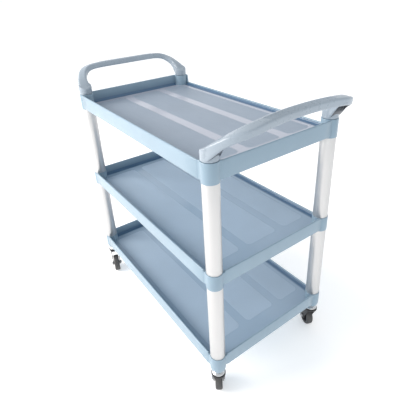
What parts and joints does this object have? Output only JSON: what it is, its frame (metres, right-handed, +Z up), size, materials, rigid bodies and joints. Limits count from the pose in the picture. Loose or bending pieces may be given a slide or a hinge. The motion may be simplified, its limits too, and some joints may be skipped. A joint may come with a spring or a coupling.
{
  "type": "food service trolley",
  "caption": "Tiered service trolley with deep plastic trays, round aluminium legs, a loop push handle at each end and swivel casters.",
  "frame": {"origin": "on the floor, midway between the four legs", "axes": "+X along the trays towards the front handle, +Y towards the open side with the low lips, +Z up"},
  "size_m": [1.0264, 0.5161, 0.9715],
  "materials": {
    "moulded_plastic": "semi-gloss grey-blue moulding, fine grain on the tray floors",
    "aluminium_tube": "satin anodised",
    "socket_plastic": "plain moulded",
    "bright_zinc": "bright zinc plate",
    "fork_black": "fine moulded grain",
    "wheel_rubber": "dusty dark grey thermoplastic rubber",
    "hub_plastic": "plain moulded",
    "plain_steel": "zinc-plated fasteners"
  },
  "bodies": {
    "chassis": {"tray_top": "moulded_plastic", "tray_middle": "moulded_plastic", "tray_bottom": "moulded_plastic", "handle_front": "moulded_plastic", "handle_rear": "moulded_plastic", "leg_upper_fr": "aluminium_tube", "leg_upper_fl": "aluminium_tube", "leg_upper_rr": "aluminium_tube", "leg_upper_rl": "aluminium_tube", "leg_lower_fr": "aluminium_tube", "leg_lower_fl": "aluminium_tube", "leg_lower_rr": "aluminium_tube", "leg_lower_rl": "aluminium_tube", "stem_socket_fr": "socket_plastic", "stem_fr": "bright_zinc", "stem_socket_fl": "socket_plastic", "stem_fl": "bright_zinc", "stem_socket_rr": "socket_plastic", "stem_rr": "bright_zinc", "stem_socket_rl": "socket_plastic", "stem_rl": "bright_zinc"},
    "swivel_fr": {"swivel_race_fr": "plain_steel", "fork_fr": "fork_black", "king_nut_fr": "plain_steel", "axle_sleeve_fr": "plain_steel", "axle_bolt_fr": "plain_steel", "axle_nut_fr": "plain_steel"},
    "wheel_fr": {"tyre_fr": "wheel_rubber", "hub_fr": "hub_plastic"},
    "swivel_fl": {"swivel_race_fl": "plain_steel", "fork_fl": "fork_black", "king_nut_fl": "plain_steel", "axle_sleeve_fl": "plain_steel", "axle_bolt_fl": "plain_steel", "axle_nut_fl": "plain_steel"},
    "wheel_fl": {"tyre_fl": "wheel_rubber", "hub_fl": "hub_plastic"},
    "swivel_rr": {"swivel_race_rr": "plain_steel", "fork_rr": "fork_black", "king_nut_rr": "plain_steel", "axle_sleeve_rr": "plain_steel", "axle_bolt_rr": "plain_steel", "axle_nut_rr": "plain_steel"},
    "wheel_rr": {"tyre_rr": "wheel_rubber", "hub_rr": "hub_plastic"},
    "swivel_rl": {"swivel_race_rl": "plain_steel", "fork_rl": "fork_black", "king_nut_rl": "plain_steel", "axle_sleeve_rl": "plain_steel", "axle_bolt_rl": "plain_steel", "axle_nut_rl": "plain_steel"},
    "wheel_rl": {"tyre_rl": "wheel_rubber", "hub_rl": "hub_plastic"}
  },
  "joints": [
    {"name": "swivel_fr_turn", "type": "hinge", "parent": "chassis", "child": "swivel_fr", "pos_m": [0.4125, -0.2245, 0.1], "axis": [0, 0, 1], "continuous": true},
    {"name": "wheel_fr_roll", "type": "hinge", "parent": "swivel_fr", "child": "wheel_fr", "pos_m": [0.38985, -0.20804, 0.0375], "axis": [-0.5878, -0.809, 0], "continuous": true},
    {"name": "swivel_fl_turn", "type": "hinge", "parent": "chassis", "child": "swivel_fl", "pos_m": [0.4125, 0.2245, 0.1], "axis": [0, 0, 1], "continuous": true},
    {"name": "wheel_fl_roll", "type": "hinge", "parent": "swivel_fl", "child": "wheel_fl", "pos_m": [0.38692, 0.23589, 0.0375], "axis": [-0.4067, -0.9135, 0], "continuous": true},
    {"name": "swivel_rr_turn", "type": "hinge", "parent": "chassis", "child": "swivel_rr", "pos_m": [-0.4125, -0.2245, 0.1], "axis": [0, 0, 1], "continuous": true},
    {"name": "wheel_rr_roll", "type": "hinge", "parent": "swivel_rr", "child": "wheel_rr", "pos_m": [-0.38587, -0.23315, 0.0375], "axis": [0.309, 0.9511, 0], "continuous": true},
    {"name": "swivel_rl_turn", "type": "hinge", "parent": "chassis", "child": "swivel_rl", "pos_m": [-0.4125, 0.2245, 0.1], "axis": [0, 0, 1], "continuous": true},
    {"name": "wheel_rl_roll", "type": "hinge", "parent": "swivel_rl", "child": "wheel_rl", "pos_m": [-0.43898, 0.23362, 0.0375], "axis": [-0.3256, -0.9455, 0], "continuous": true}
  ]
}
